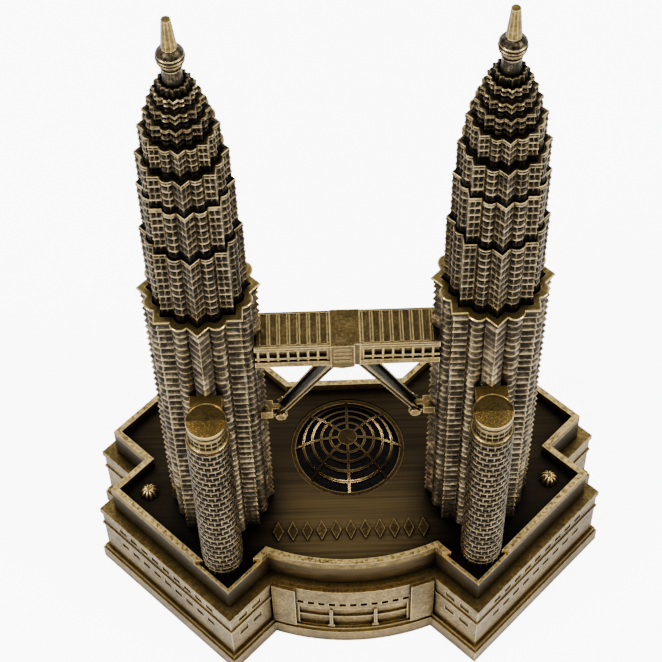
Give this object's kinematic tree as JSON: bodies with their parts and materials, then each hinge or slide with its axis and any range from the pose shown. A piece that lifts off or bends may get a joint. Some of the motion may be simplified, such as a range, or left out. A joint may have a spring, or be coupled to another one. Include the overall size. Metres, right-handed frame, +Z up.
{
  "type": "twin-tower desk souvenir",
  "caption": "Metal landmark miniature: two stepped star-plan towers with spires, joined by a strutted skybridge, on a two-tier podium with a domed grille.",
  "frame": {"origin": "centre of the podium's plan at table level", "axes": "+X to the right, +Y to the back, +Z up; the bowed front faces -Y"},
  "size_m": [0.1154, 0.0762, 0.18],
  "materials": {
    "worn_brass": "antique plating, edges rubbed bright, recesses dark",
    "deck_brass": "dark brushed patina with fine lines along X",
    "tower_bronze": "greyed antique bronze with black recesses",
    "well_dark": "near-black lacquer",
    "screw_steel": "plain turned steel",
    "cover_sheet": "dark plating",
    "felt": "black felt"
  },
  "bodies": {
    "root": {"felt_pad": "felt", "bottom_cover": "cover_sheet", "cover_screws": "screw_steel", "foot_moulding": "worn_brass", "base_shell": "worn_brass", "bow_facade": "worn_brass", "facade_posts": "worn_brass", "deck_tray": "deck_brass", "deck_ornament": "deck_brass", "grille": "worn_brass", "grille_well": "well_dark", "left_deck_dome": "worn_brass", "right_deck_dome": "worn_brass", "tower_screws": "screw_steel", "left_shaft": "tower_bronze", "right_shaft": "tower_bronze", "left_collar": "worn_brass", "right_collar": "worn_brass", "left_middle_tier": "tower_bronze", "right_middle_tier": "tower_bronze", "left_upper_tiers": "tower_bronze", "right_upper_tiers": "tower_bronze", "left_crown": "tower_bronze", "right_crown": "tower_bronze", "left_ball": "worn_brass", "right_ball": "worn_brass", "left_spire": "worn_brass", "right_spire": "worn_brass", "left_annexe": "tower_bronze", "right_annexe": "tower_bronze", "left_annexe_cap": "worn_brass", "right_annexe_cap": "worn_brass", "left_annexe_wedge": "worn_brass", "right_annexe_wedge": "worn_brass", "left_bridge_span": "worn_brass", "right_bridge_span": "worn_brass", "left_bridge_roof": "worn_brass", "right_bridge_roof": "worn_brass", "bridge_centre": "worn_brass", "left_strut": "worn_brass", "right_strut": "worn_brass", "left_strut_pin": "worn_brass", "right_strut_pin": "worn_brass", "left_strut_bracket": "worn_brass", "right_strut_bracket": "worn_brass"}
  },
  "joints": []
}
